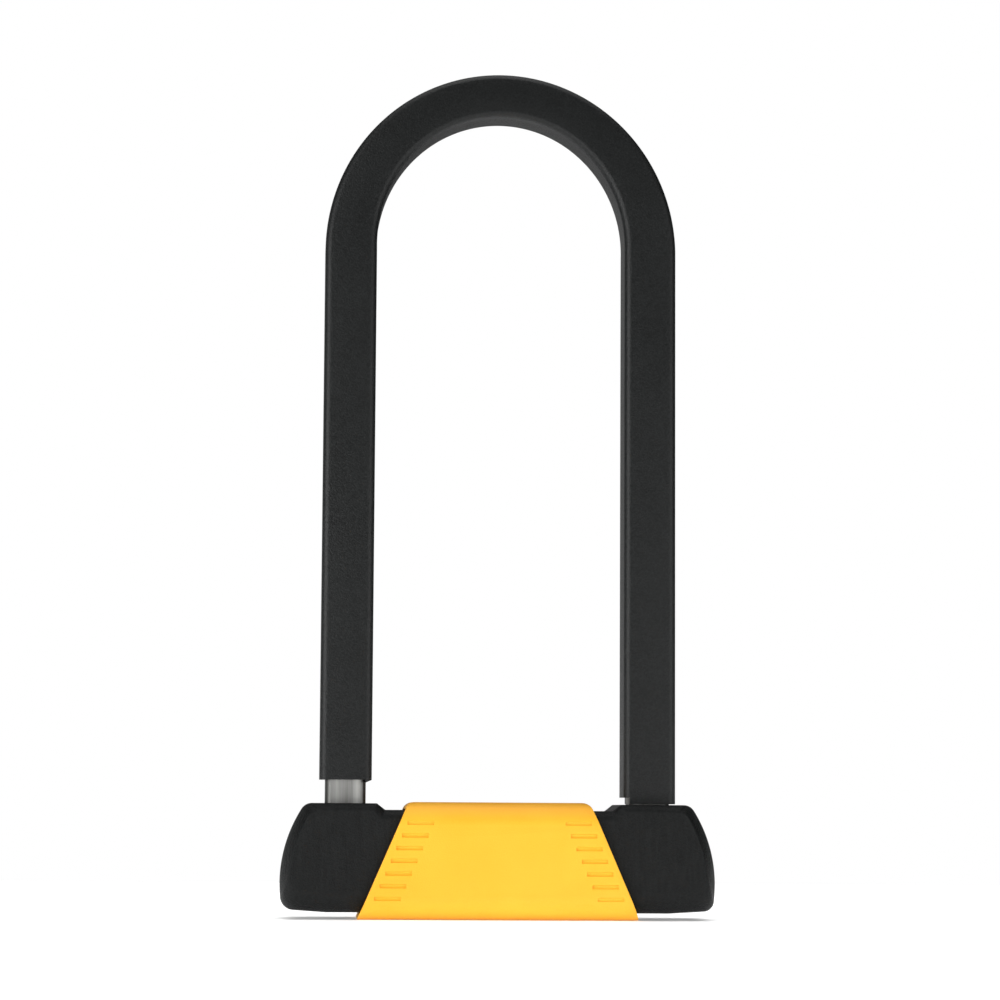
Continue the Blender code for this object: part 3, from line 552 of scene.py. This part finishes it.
def turned_brass(tree, place):
    rings = noise(tree, place, 800.0, 2.0, 0.5, stretch=(1.0, 1.0, 0.3))
    tarnish = noise(tree, place, 220.0, 4.0, 0.6)
    colour = blend_colours(tree, tarnish, (0.50, 0.33, 0.12), (0.74, 0.56, 0.26))
    return {"Base Color": colour, "Metallic": 1.0, "Roughness": 0.26 + tarnish * 0.2,
            "Normal": bumps(tree, rings, 0.00003)}


brass = material("turned_brass", turned_brass)
DISCS = 6
refinish(brass, "cylinder_housing", "plug", *(f"locking_disc_{i + 1}" for i in range(DISCS)))
refinish(dark_steel, "anti_drill_disc", "sidebar")


# ---- Cam plate, bolts and drive pins ----
# The plug turns a steel plate with two spiral grooves. A pin pressed into each bolt's tail runs in a groove
# and drives the bolt out into its leg. Ground steel, oiled.


def ground_steel(tree, place):
    lines = noise(tree, place, 1200.0, 2.0, 0.6, stretch=(0.04, 1.0, 1.0))
    film = noise(tree, place, 180.0, 3.0)
    colour = blend_colours(tree, lines * 0.6 + film * 0.4, (0.32, 0.32, 0.33), (0.62, 0.62, 0.61))
    return {"Base Color": colour, "Metallic": 1.0, "Roughness": 0.22 + film * 0.16,
            "Normal": bumps(tree, lines, 0.00003)}


refinish(material("ground_steel", ground_steel), "cam_plate", *both("bolt"), *both("drive_pin"))


# ---- Leg seals ----
# A moulded rubber ring under each pad wipes the leg and keeps water out of the socket.


def soft_rubber(tree, place):
    bloom = noise(tree, place, 300.0, 4.0, 0.6)
    return {"Base Color": blend_colours(tree, bloom, (0.012, 0.012, 0.012), (0.030, 0.030, 0.029)),
            "Roughness": 0.7 + bloom * 0.15, "Normal": bumps(tree, bloom, 0.00005)}


refinish(material("soft_rubber", soft_rubber), *both("leg_seal"))


# ---- End covers ----
# Two satin black mouldings pushed on from the ends. Each flares down to a rounded toe, has a raised pad
# round its leg and a lower stretch that runs in under the sleeve, and is textured finely all over.

cover_low, cover_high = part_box("end_cover_right")
END_ARC, END_ARC_Z = 0.0454, 0.0118                          # the long curve of the end, and its centre's z
TOP_CORNER, CORNER_RISE = 0.0040, 0.0007
BELLY_END, TOE_START = 0.056, -85.5                          # where the underside starts to rise to the toe
BOTTOM_CORNER = {-1: 0.0045, 1: 0.0035}                      # rounder on the left
STEP_TOP_X, STEP_FOOT_X, STEP_DROP, STEP_SOFT = 0.0393, 0.0378, 0.0021, 0.0009
FACE_CORNER = 0.0040                                         # corner radius of the flat front and back faces
RIM, PAD_EDGE, RECESS_EDGE, BELLY = (                        # width, depth and fullness of each edge rounding
    (0.0034, 0.0060, 1.25), (0.0024, 0.0026, 1.7), (0.0032, 0.0036, 1.9), (0.0070, 0.0060, 1.7))
LAYERS, FLAT_MARGIN = 26, 0.04                               # rings through an edge, and one inside the face
SOCKET_HALF, SOCKET_LEAD = 0.0073, 0.0004
TUBE_ROUND, SHANK_HOLE, HOLE_LEAD = 0.0025, 0.0016, 0.0004


def arc(centre, radius, start, end, steps):
    """Points on an arc between two angles in degrees."""
    for i in range(steps + 1):
        angle = radians(start + (end - start) * i / steps)
        yield centre[0] + radius * cos(angle), centre[1] + radius * sin(angle)


def rounded_rect(half_u, half_v, radius, steps=8):
    """Points round a rectangle with rounded corners, centred on zero."""
    corners = ((1, 1, 0), (-1, 1, 90), (-1, -1, 180), (1, -1, 270))
    points = []
    for side_u, side_v, start in corners:
        centre = (side_u * (half_u - radius), side_v * (half_v - radius))
        points.extend(arc(centre, radius, start, start + 90, steps))
    return points


def spaced(start, end, pieces):
    """Evenly spaced points along a straight stretch, with both its ends."""
    return [tuple(a + (b - a) * i / pieces for a, b in zip(start, end)) for i in range(pieces + 1)]


def cover_outline(toe_round, shoulder_round, rim=0.0, pad=0.0, recess=0.0, belly=0.0):
    """(x, z) points round the right-hand cover, or with insets round its flat face, with the edge of each.
    They run anticlockwise from under the middle."""
    middle, centre = cover_low.x, (cover_high.x - END_ARC, END_ARC_Z)
    radius = END_ARC - rim
    floor, top, low = cover_low.z + belly, cover_high.z - pad, cover_high.z - STEP_DROP - recess

    def corner(z, rounding):
        angle = asin((z - END_ARC_Z) / (radius - rounding))
        return (centre[0] + (radius - rounding) * cos(angle), z), degrees(angle)

    toe, toe_end = corner(floor + CORNER_RISE + toe_round, toe_round)
    shoulder, shoulder_start = corner(top - shoulder_round, shoulder_round)
    step_x, foot_x = STEP_TOP_X + STEP_SOFT + pad / 2, STEP_FOOT_X - STEP_SOFT + recess / 2
    stretches = [
        (spaced((middle, floor), (BELLY_END, floor), 14), BELLY),
        (arc(toe, toe_round, TOE_START, toe_end, 16), BELLY),
        (list(arc(centre, radius, toe_end, shoulder_start, 36))[1:-1], RIM),
        (arc(shoulder, shoulder_round, shoulder_start, 90, 14), RIM),
        (spaced((shoulder[0] - STEP_SOFT, top), (step_x + STEP_SOFT, top), 5), PAD_EDGE),
        (arc((step_x, top - STEP_SOFT), STEP_SOFT, 90, 135, 6), PAD_EDGE),
        (arc((foot_x, low + STEP_SOFT), STEP_SOFT, 315, 270, 6), RECESS_EDGE),
        (spaced((foot_x - STEP_SOFT, low), (middle, low), 9), RECESS_EDGE)]
    return [(point, edge) for points, edge in stretches for point in points]


def eased(edges, passes=8):
    """Depth and fullness of the edge at each point, eased into its neighbours'."""
    shapes = [edge[1:] for edge in edges]
    for _ in range(passes):
        neighbours = zip([shapes[0]] + shapes[:-1], shapes, shapes[1:] + [shapes[-1]])
        shapes = [tuple((b + 2 * h + a) / 4 for b, h, a in zip(before, here, after))
                  for before, here, after in neighbours]
    return shapes


def drawn_in(shape, depth):
    """The share of its width that an edge has drawn in at a depth behind the face."""
    deep, full = shape
    share = max(0.0, 1.0 - depth / deep)
    return 1.0 - (1.0 - share ** full) ** (1.0 / full)


def cover_rings(side):
    """Rings from front to back: out from the flat face to the full outline, and in again at the back."""
    rim = cover_outline(BOTTOM_CORNER[side], TOP_CORNER)
    face = cover_outline(FACE_CORNER, FACE_CORNER, RIM[0], PAD_EDGE[0], RECESS_EDGE[0], BELLY[0])
    shapes = eased([edge for _, edge in rim])
    rows = [(outer, inner, shape) for (outer, _), (inner, _), shape in zip(rim, face, shapes)]
    half = cover_high.y
    deepest = max(shape[0] for _, _, shape in rows)
    depths = [deepest * (1.0 - cos(pi / 2 * i / LAYERS)) for i in range(LAYERS + 1)]

    def ring(y, depth, extra=0.0):
        shares = [drawn_in(shape, depth) + extra for _, _, shape in rows]
        return [(side * (x + (face_x - x) * share), y, z + (face_z - z) * share)
                for ((x, z), (face_x, face_z), _), share in zip(rows, shares)]

    front = [ring(-half, 0.0, FLAT_MARGIN)] + [ring(-half + depth, depth) for depth in depths]
    back = [ring(half - depth, depth) for depth in reversed(depths)] + [ring(half, 0.0, FLAT_MARGIN)]
    return front + back


def satin_black(tree, place):
    """Moulded black plastic: fine spark-eroded texture, with faint upright flow lines."""
    grain = noise(tree, place, 1600.0, 4.0, 0.65)
    flow = noise(tree, place, 900.0, 2.0, 0.5, stretch=(1.0, 1.0, 0.14))
    cloud = noise(tree, place, 45.0, 3.0)
    texture = contrast(grain, 3.5) * 0.6 + contrast(flow) * 0.4
    tone = texture * 0.8 + cloud * 0.2
    colour = blend_colours(tree, tone, (0.0005, 0.0008, 0.0008), (0.0095, 0.0105, 0.0105))
    return {"Base Color": colour, "Roughness": 0.33 + cloud * 0.08 + flow * 0.06, "Specular IOR Level": 0.15,
            "Normal": bumps(tree, texture, 0.00013)}


satin = material("satin_black", satin_black)
tube_low, tube_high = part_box("crossbar_tube")
screw_low, screw_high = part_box("cover_screw_right")
shutter_low, shutter_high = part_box("dust_cover")
SHUTTER_TRAVEL, PLAY = 0.015, 0.0003
SCREW_HEAD = 0.0012


def circle(radius, steps, centre):
    """Points round a circle, half a step off the axis."""
    angles = [2 * pi * (i + 0.5) / steps for i in range(steps)]
    return [(centre[0] + radius * cos(angle), centre[1] + radius * sin(angle)) for angle in angles]


def upright(name, sections):
    """A solid through level (x, y) outlines at rising heights."""
    return loft(name, [[(x, y, z) for x, y in outline] for outline, z in sections])


def cover_cutters(side):
    """The tube's room, the leg's opening with a small lead-in, the screw's hole and the shutter's track."""
    room = rounded_rect(tube_high.y + PLAY, (tube_high.z - tube_low.z) / 2 + PLAY, TUBE_ROUND)
    mid_z = (tube_high.z + tube_low.z) / 2
    tube_room = loft("tube_room", [[(side * x, y, mid_z + z) for y, z in room]
                                   for x in (-0.005, tube_high.x + PLAY)])

    def square(half):
        return [(side * leg_x + x, y) for x, y in rounded_rect(half, half, BAR_ROUND)]

    opening = upright("leg_opening", [
        (square(SOCKET_HALF), tube_high.z - PAST), (square(SOCKET_HALF), cover_high.z - SOCKET_LEAD),
        (square(SOCKET_HALF + SOCKET_LEAD * 2), cover_high.z + SOCKET_LEAD)])
    _, seal_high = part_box("leg_seal_right")
    seat = square(seal_high.y + PLAY)
    pocket = upright("seal_pocket", [(seat, tube_high.z - PAST), (seat, seal_high.z + PLAY)])

    def round_hole(radius):
        return circle(radius, 48, (side * (screw_low.x + screw_high.x) / 2, 0.0))

    head_r, head_top = screw_high.y + PLAY, screw_low.z + SCREW_HEAD + 0.0001
    hole = upright("screw_hole", [
        (round_hole(head_r + HOLE_LEAD), -0.001), (round_hole(head_r), cover_low.z + PLAY),
        (round_hole(head_r), head_top), (round_hole(SHANK_HOLE), head_top),
        (round_hole(SHANK_HOLE), tube_high.z / 2)])
    track_y = shutter_high.y + 2 * PLAY
    track = block("shutter_track", (shutter_low.x - 2 * PLAY, shutter_high.x + SHUTTER_TRAVEL + 2 * PLAY),
                  (-track_y, track_y), (0.0, mid_z))
    return [tube_room, opening, pocket, hole, track]


for side, hand in ((-1, "left"), (1, "right")):
    cover = loft(f"{hand}_cover", cover_rings(side), finish=satin)
    cover = carve(cover, cover_cutters(side), 32.0, careful=True)
    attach(cover, "crossbar")
    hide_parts(f"end_cover_{hand}")


# ---- Cover screws ----
# Two short socket-head screws, zinc plated, hold the covers to the tube from below. Both are the same screw.


def screw_tree():
    """A socket-head screw, head down, set at both ends of a line."""
    tree, ask = new_tree("cover_screws", [
        ("Material", "Material"), ("Spread", "Float"), ("Face height", "Float"), ("Head radius", "Float"),
        ("Head height", "Float"), ("Shank radius", "Float"), ("Length", "Float"), ("Socket", "Float")])

    def rod(radius, height, low, sides, top=None):
        cone = Wire.node(tree, "GeometryNodeMeshCone", inputs={
            "Vertices": sides, "Radius Bottom": radius, "Radius Top": radius if top is None else top,
            "Depth": height})
        lift = Wire.node(tree, "ShaderNodeCombineXYZ", inputs={"Z": low})
        return Wire.node(tree, "GeometryNodeTransform", inputs={"Geometry": cone, "Translation": lift})

    edge = ask["Head height"] * 0.2
    rim = rod(ask["Head radius"] - edge, edge, 0.0, 48, ask["Head radius"])
    head = rod(ask["Head radius"], ask["Head height"] - edge * 0.98, edge * 0.98, 48)
    shank = rod(ask["Shank radius"], ask["Length"], ask["Head height"] * 0.9, 32)
    socket = rod(ask["Socket"], ask["Head height"], ask["Head height"] * -0.4, 6)
    join = Wire.node(tree, "GeometryNodeMeshBoolean", {"operation": "UNION", "solver": "EXACT"})
    for part in (rim, head, shank):
        tree.links.new(part.socket, join.socket.node.inputs["Mesh 2"])
    whole = Wire.node(tree, "GeometryNodeMeshBoolean", {"operation": "DIFFERENCE", "solver": "EXACT"},
                      {"Mesh 1": join, "Mesh 2": socket})
    start = Wire.node(tree, "ShaderNodeCombineXYZ",
                      inputs={"X": ask["Spread"] * -0.5, "Z": ask["Face height"]})
    step = Wire.node(tree, "ShaderNodeCombineXYZ", inputs={"X": ask["Spread"]})
    spots = Wire.node(tree, "GeometryNodeMeshLine",
                      inputs={"Count": 2, "Start Location": start, "Offset": step})
    screws = Wire.node(tree, "GeometryNodeInstanceOnPoints", inputs={"Points": spots, "Instance": whole})
    finish_tree(tree, screws, ask["Material"])
    return tree


def zinc_plate(tree, place):
    film = noise(tree, place, 600.0, 3.0)
    return {"Base Color": blend_colours(tree, film, (0.42, 0.43, 0.45), (0.62, 0.62, 0.60)), "Metallic": 1.0,
            "Roughness": 0.25 + film * 0.18, "Normal": bumps(tree, film, 0.00002)}


screws = grow("cover_screws", screw_tree(), {
    "Material": material("zinc_plate", zinc_plate), "Spread": screw_low.x + screw_high.x,
    "Face height": screw_low.z, "Head radius": screw_high.y, "Head height": SCREW_HEAD,
    "Shank radius": 0.0013, "Length": screw_high.z - screw_low.z - SCREW_HEAD * 0.9, "Socket": 0.0012})
crisp(screws, 30.0)
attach(screws, "crossbar")
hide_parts(*both("cover_screw"))


# ---- Centre sleeve ----
# A yellow moulding slid over the crossbar before the covers go on. Its ends are cut on a slant, wider below,
# and seven shallow grip grooves step down beside each slanted edge, front and back.

_, sleeve_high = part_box("centre_sleeve")
SLEEVE_HALF_TOP = 0.0296
SLEEVE_ROUND, SLEEVE_INNER_ROUND, SLEEVE_CORNER, SLEEVE_EDGE = 0.0080, 0.0057, 0.0025, 0.00035
GROOVES, GROOVE_FIRST_Z, GROOVE_PITCH = 7, 0.0069, 0.0041
GROOVE_LENGTH, GROOVE_HEIGHT, GROOVE_DEPTH, GROOVE_INSET = 0.0086, 0.0014, 0.0006, 0.0025


def sleeve_reach(z):
    """Half width of the sleeve at a height, with its upper corners rounded off."""
    lean = (sleeve_high.x - SLEEVE_HALF_TOP) / sleeve_high.z
    reach = sleeve_high.x - lean * z
    over = z - (sleeve_high.z - SLEEVE_CORNER)
    if over > 0:
        reach -= SLEEVE_CORNER - sqrt(max(0.0, SLEEVE_CORNER ** 2 - over ** 2)) - lean * over * 0.5
    return reach


def sleeve_rings():
    """The section outside from end to end, then the section inside back again, with softened rims."""
    mid_z = sleeve_high.z / 2
    inner_low, inner_high = cover_low.z - PLAY, cover_high.z - STEP_DROP + PLAY
    inner_mid = (inner_low + inner_high) / 2
    outer = (sleeve_high.y, mid_z, mid_z, SLEEVE_ROUND)
    inner = (cover_high.y + PLAY, (inner_high - inner_low) / 2, inner_mid, SLEEVE_INNER_ROUND)

    def ring(section, grow, side, back):
        half_y, half_z, centre_z, radius = section
        points = rounded_rect(half_y + grow, half_z + grow, radius + grow, 14)
        return [(side * (sleeve_reach(min(max(centre_z + z, 0.0), sleeve_high.z)) - back), y, centre_z + z)
                for y, z in points]

    turns = [i * pi / 8 for i in range(5)]
    soft = [(-SLEEVE_EDGE * (1 - cos(turn)), SLEEVE_EDGE * (1 - sin(turn))) for turn in turns]
    rings = [ring(outer, grow, -1, back) for grow, back in reversed(soft)]
    rings += [ring(outer, grow, 1, back) for grow, back in soft]
    rings += [ring(inner, -grow, 1, back) for grow, back in reversed(soft)]
    rings += [ring(inner, -grow, -1, back) for grow, back in soft]
    return rings


def groove_tree():
    """A round rod that scoops one groove, set along a slanted line by instances on points."""
    tree, ask = new_tree("grip_grooves", [
        ("Material", "Material"), ("Count", "Int"), ("Start", "Vector"), ("Step", "Vector"),
        ("Length", "Float"), ("Height", "Float"), ("Depth", "Float"), ("Turn", "Vector")])
    half = ask["Height"] * 0.5
    radius = (half * half + ask["Depth"] * ask["Depth"]) / (ask["Depth"] * 2.0)
    raised = radius - ask["Depth"]
    start = Wire.node(tree, "ShaderNodeCombineXYZ", inputs={"X": ask["Length"] * -0.5, "Z": raised})
    end = Wire.node(tree, "ShaderNodeCombineXYZ", inputs={"X": ask["Length"] * 0.5, "Z": raised})
    axis = Wire.node(tree, "GeometryNodeCurvePrimitiveLine", inputs={"Start": start, "End": end})
    section = Wire.node(tree, "GeometryNodeCurvePrimitiveCircle",
                        inputs={"Resolution": 40, "Radius": radius})
    rod = Wire.node(tree, "GeometryNodeCurveToMesh",
                    inputs={"Curve": axis, "Profile Curve": section, "Fill Caps": True})
    line = Wire.node(tree, "GeometryNodeMeshLine", inputs={
        "Count": ask["Count"], "Start Location": ask["Start"], "Offset": ask["Step"]})
    turn = Wire.node(tree, "FunctionNodeEulerToRotation", inputs={0: ask["Turn"]})
    slots = Wire.node(tree, "GeometryNodeInstanceOnPoints", inputs={
        "Points": line, "Instance": rod, "Rotation": turn})
    finish_tree(tree, slots, ask["Material"])
    return tree


def warm_yellow(tree, place):
    """Yellow-orange moulded plastic: satin, finely textured, a little uneven in tone."""
    grain = noise(tree, place, 2400.0, 2.0, 0.5)
    cloud = noise(tree, place, 35.0, 3.0, 0.55)
    tone = contrast(cloud) * 0.6 + contrast(grain) * 0.4
    colour = blend_colours(tree, tone, (0.95, 0.43, 0.020), (0.98, 0.49, 0.033))
    return {"Base Color": colour, "Roughness": 0.42 + cloud * 0.1, "Specular IOR Level": 0.3,
            "Normal": bumps(tree, grain, 0.00006)}


yellow = material("warm_yellow", warm_yellow)
grip_grooves = groove_tree()


def grooves(side, face):
    """The slots beside one slanted edge, on the front (-1) or back (1) face."""
    def centre_x(z):
        return side * (sleeve_reach(z) - GROOVE_INSET - GROOVE_LENGTH / 2)

    step_x = centre_x(GROOVE_FIRST_Z + GROOVE_PITCH) - centre_x(GROOVE_FIRST_Z)
    return grow(f"grooves_{side}_{face}", grip_grooves, {
        "Material": yellow, "Count": GROOVES, "Length": GROOVE_LENGTH, "Height": GROOVE_HEIGHT,
        "Depth": GROOVE_DEPTH, "Step": (step_x, 0.0, GROOVE_PITCH),
        "Start": (centre_x(GROOVE_FIRST_Z), face * sleeve_high.y, GROOVE_FIRST_Z),
        "Turn": (face * -pi / 2, 0.0, 0.0)})


WINDOW_X, WINDOW_HALF_Y, WINDOW_EDGE = (-0.0070, 0.0163), 0.0060, 0.0005


def keyhole_window():
    """The long opening under the sleeve, with a softened lower edge."""
    middle, half = (WINDOW_X[0] + WINDOW_X[1]) / 2, (WINDOW_X[1] - WINDOW_X[0]) / 2

    def slot(extra):
        return [(middle + x, y) for x, y in
                rounded_rect(half + extra, WINDOW_HALF_Y + extra, WINDOW_HALF_Y - 0.0003 + extra, 16)]

    return upright("keyhole_window", [(slot(2 * WINDOW_EDGE), -WINDOW_EDGE), (slot(0.0), WINDOW_EDGE),
                                      (slot(0.0), cover_low.z + 0.003)])


sleeve = loft("yellow_sleeve", sleeve_rings(), closed=True, finish=yellow)
slots = [grooves(side, face) for side in (-1, 1) for face in (-1, 1)]
sleeve = carve(sleeve, slots + [keyhole_window()], 32.0)
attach(sleeve, "crossbar")
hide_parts("centre_sleeve")


# ---- Dust cover ----
# A black shutter that slides in the gap between tube and sleeve, with a ribbed tab for a fingertip.

TAB_X, TAB_HALF_Y, TAB_RIBS, RIB_GAP, RIB_DEPTH = (-0.0055, -0.0005), 0.0045, 3, 0.0007, 0.0007
PLATE_LOW, PLATE_EDGE, TAB_EDGE = 0.0023, 0.00015, 0.0003


def dust_cover():
    """The plate and its tab as one solid, with the gaps between the tab's ribs cut out."""
    middle = (shutter_low.x + shutter_high.x) / 2
    half = (shutter_high.x - shutter_low.x) / 2

    def plate(inset):
        return [(middle + x, y) for x, y in rounded_rect(half - inset, shutter_high.y - inset, 0.0015, 8)]

    slab = upright("shutter", [
        (plate(PLATE_EDGE), PLATE_LOW), (plate(0.0), PLATE_LOW + PLATE_EDGE),
        (plate(0.0), shutter_high.z - PLATE_EDGE), (plate(PLATE_EDGE), shutter_high.z)])
    tab_x, tab_half = sum(TAB_X) / 2, (TAB_X[1] - TAB_X[0]) / 2

    def pad(inset):
        return [(tab_x + x, y) for x, y in rounded_rect(tab_half - inset, TAB_HALF_Y - inset, 0.0010, 8)]

    tab = upright("shutter_tab", [(pad(TAB_EDGE), shutter_low.z), (pad(0.0), shutter_low.z + TAB_EDGE),
                                  (pad(0.0), PLATE_LOW + 0.0005)])
    union = slab.modifiers.new("tab", "BOOLEAN")
    union.operation, union.solver, union.object = "UNION", "EXACT", tab
    slab.data.materials.append(satin)
    slab = bake("shutter", slab)
    bpy.data.objects.remove(tab)
    pitch = (TAB_X[1] - TAB_X[0]) / TAB_RIBS
    gaps = []
    for i in range(1, TAB_RIBS):
        x = TAB_X[0] + i * pitch
        gaps.append(block(f"rib_gap_{i}", (x - RIB_GAP / 2, x + RIB_GAP / 2), (-0.006, 0.006),
                          (shutter_low.z - 0.001, shutter_low.z + RIB_DEPTH)))
    return carve(slab, gaps, 30.0)


shutter = dust_cover()
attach(shutter, "keyhole_cover")
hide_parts("dust_cover")
